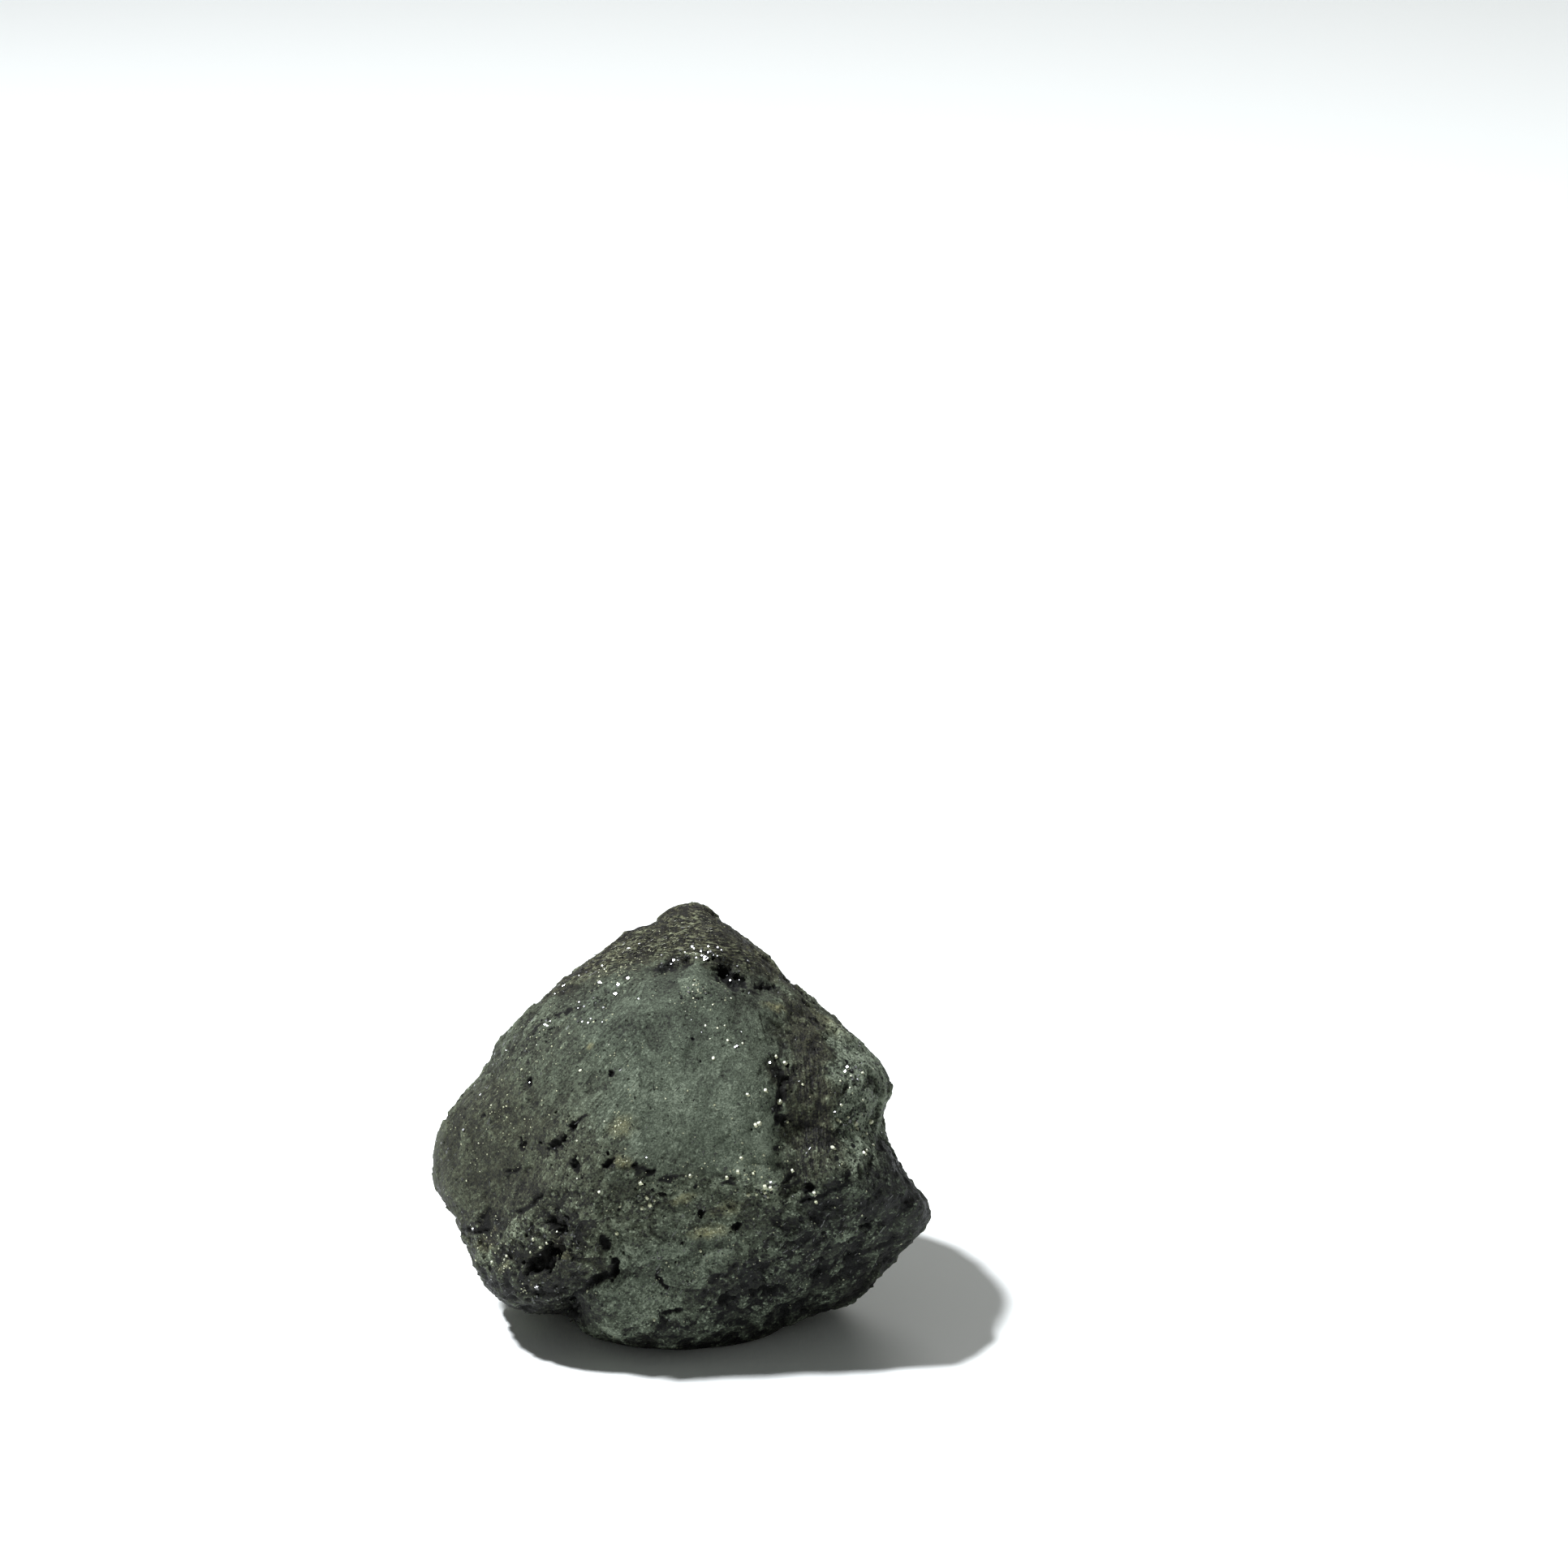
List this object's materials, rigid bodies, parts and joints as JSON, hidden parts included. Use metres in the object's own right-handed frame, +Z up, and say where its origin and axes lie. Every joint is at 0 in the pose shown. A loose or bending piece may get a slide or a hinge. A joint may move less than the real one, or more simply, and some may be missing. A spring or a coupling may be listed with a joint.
{
  "type": "black tourmaline stone",
  "caption": "Rough lump of black tourmaline: a smooth broad face leaning back, a peaked top, a pitted lower left lump and a ridged crystal face behind, on a flat rest.",
  "frame": {"origin": "middle of the stone's footprint box, on the plane that it rests on", "axes": "+Z up, -Y towards the broad face (the front), +X to the right seen from the front and along the longest side"},
  "size_m": [0.0604, 0.0468, 0.0497],
  "materials": {
    "tourmaline": "rough dusty dark grey-green to black mineral with fine glinting crystal faces and faint brown stain"
  },
  "bodies": {
    "root": {"stone": "tourmaline"}
  },
  "joints": []
}
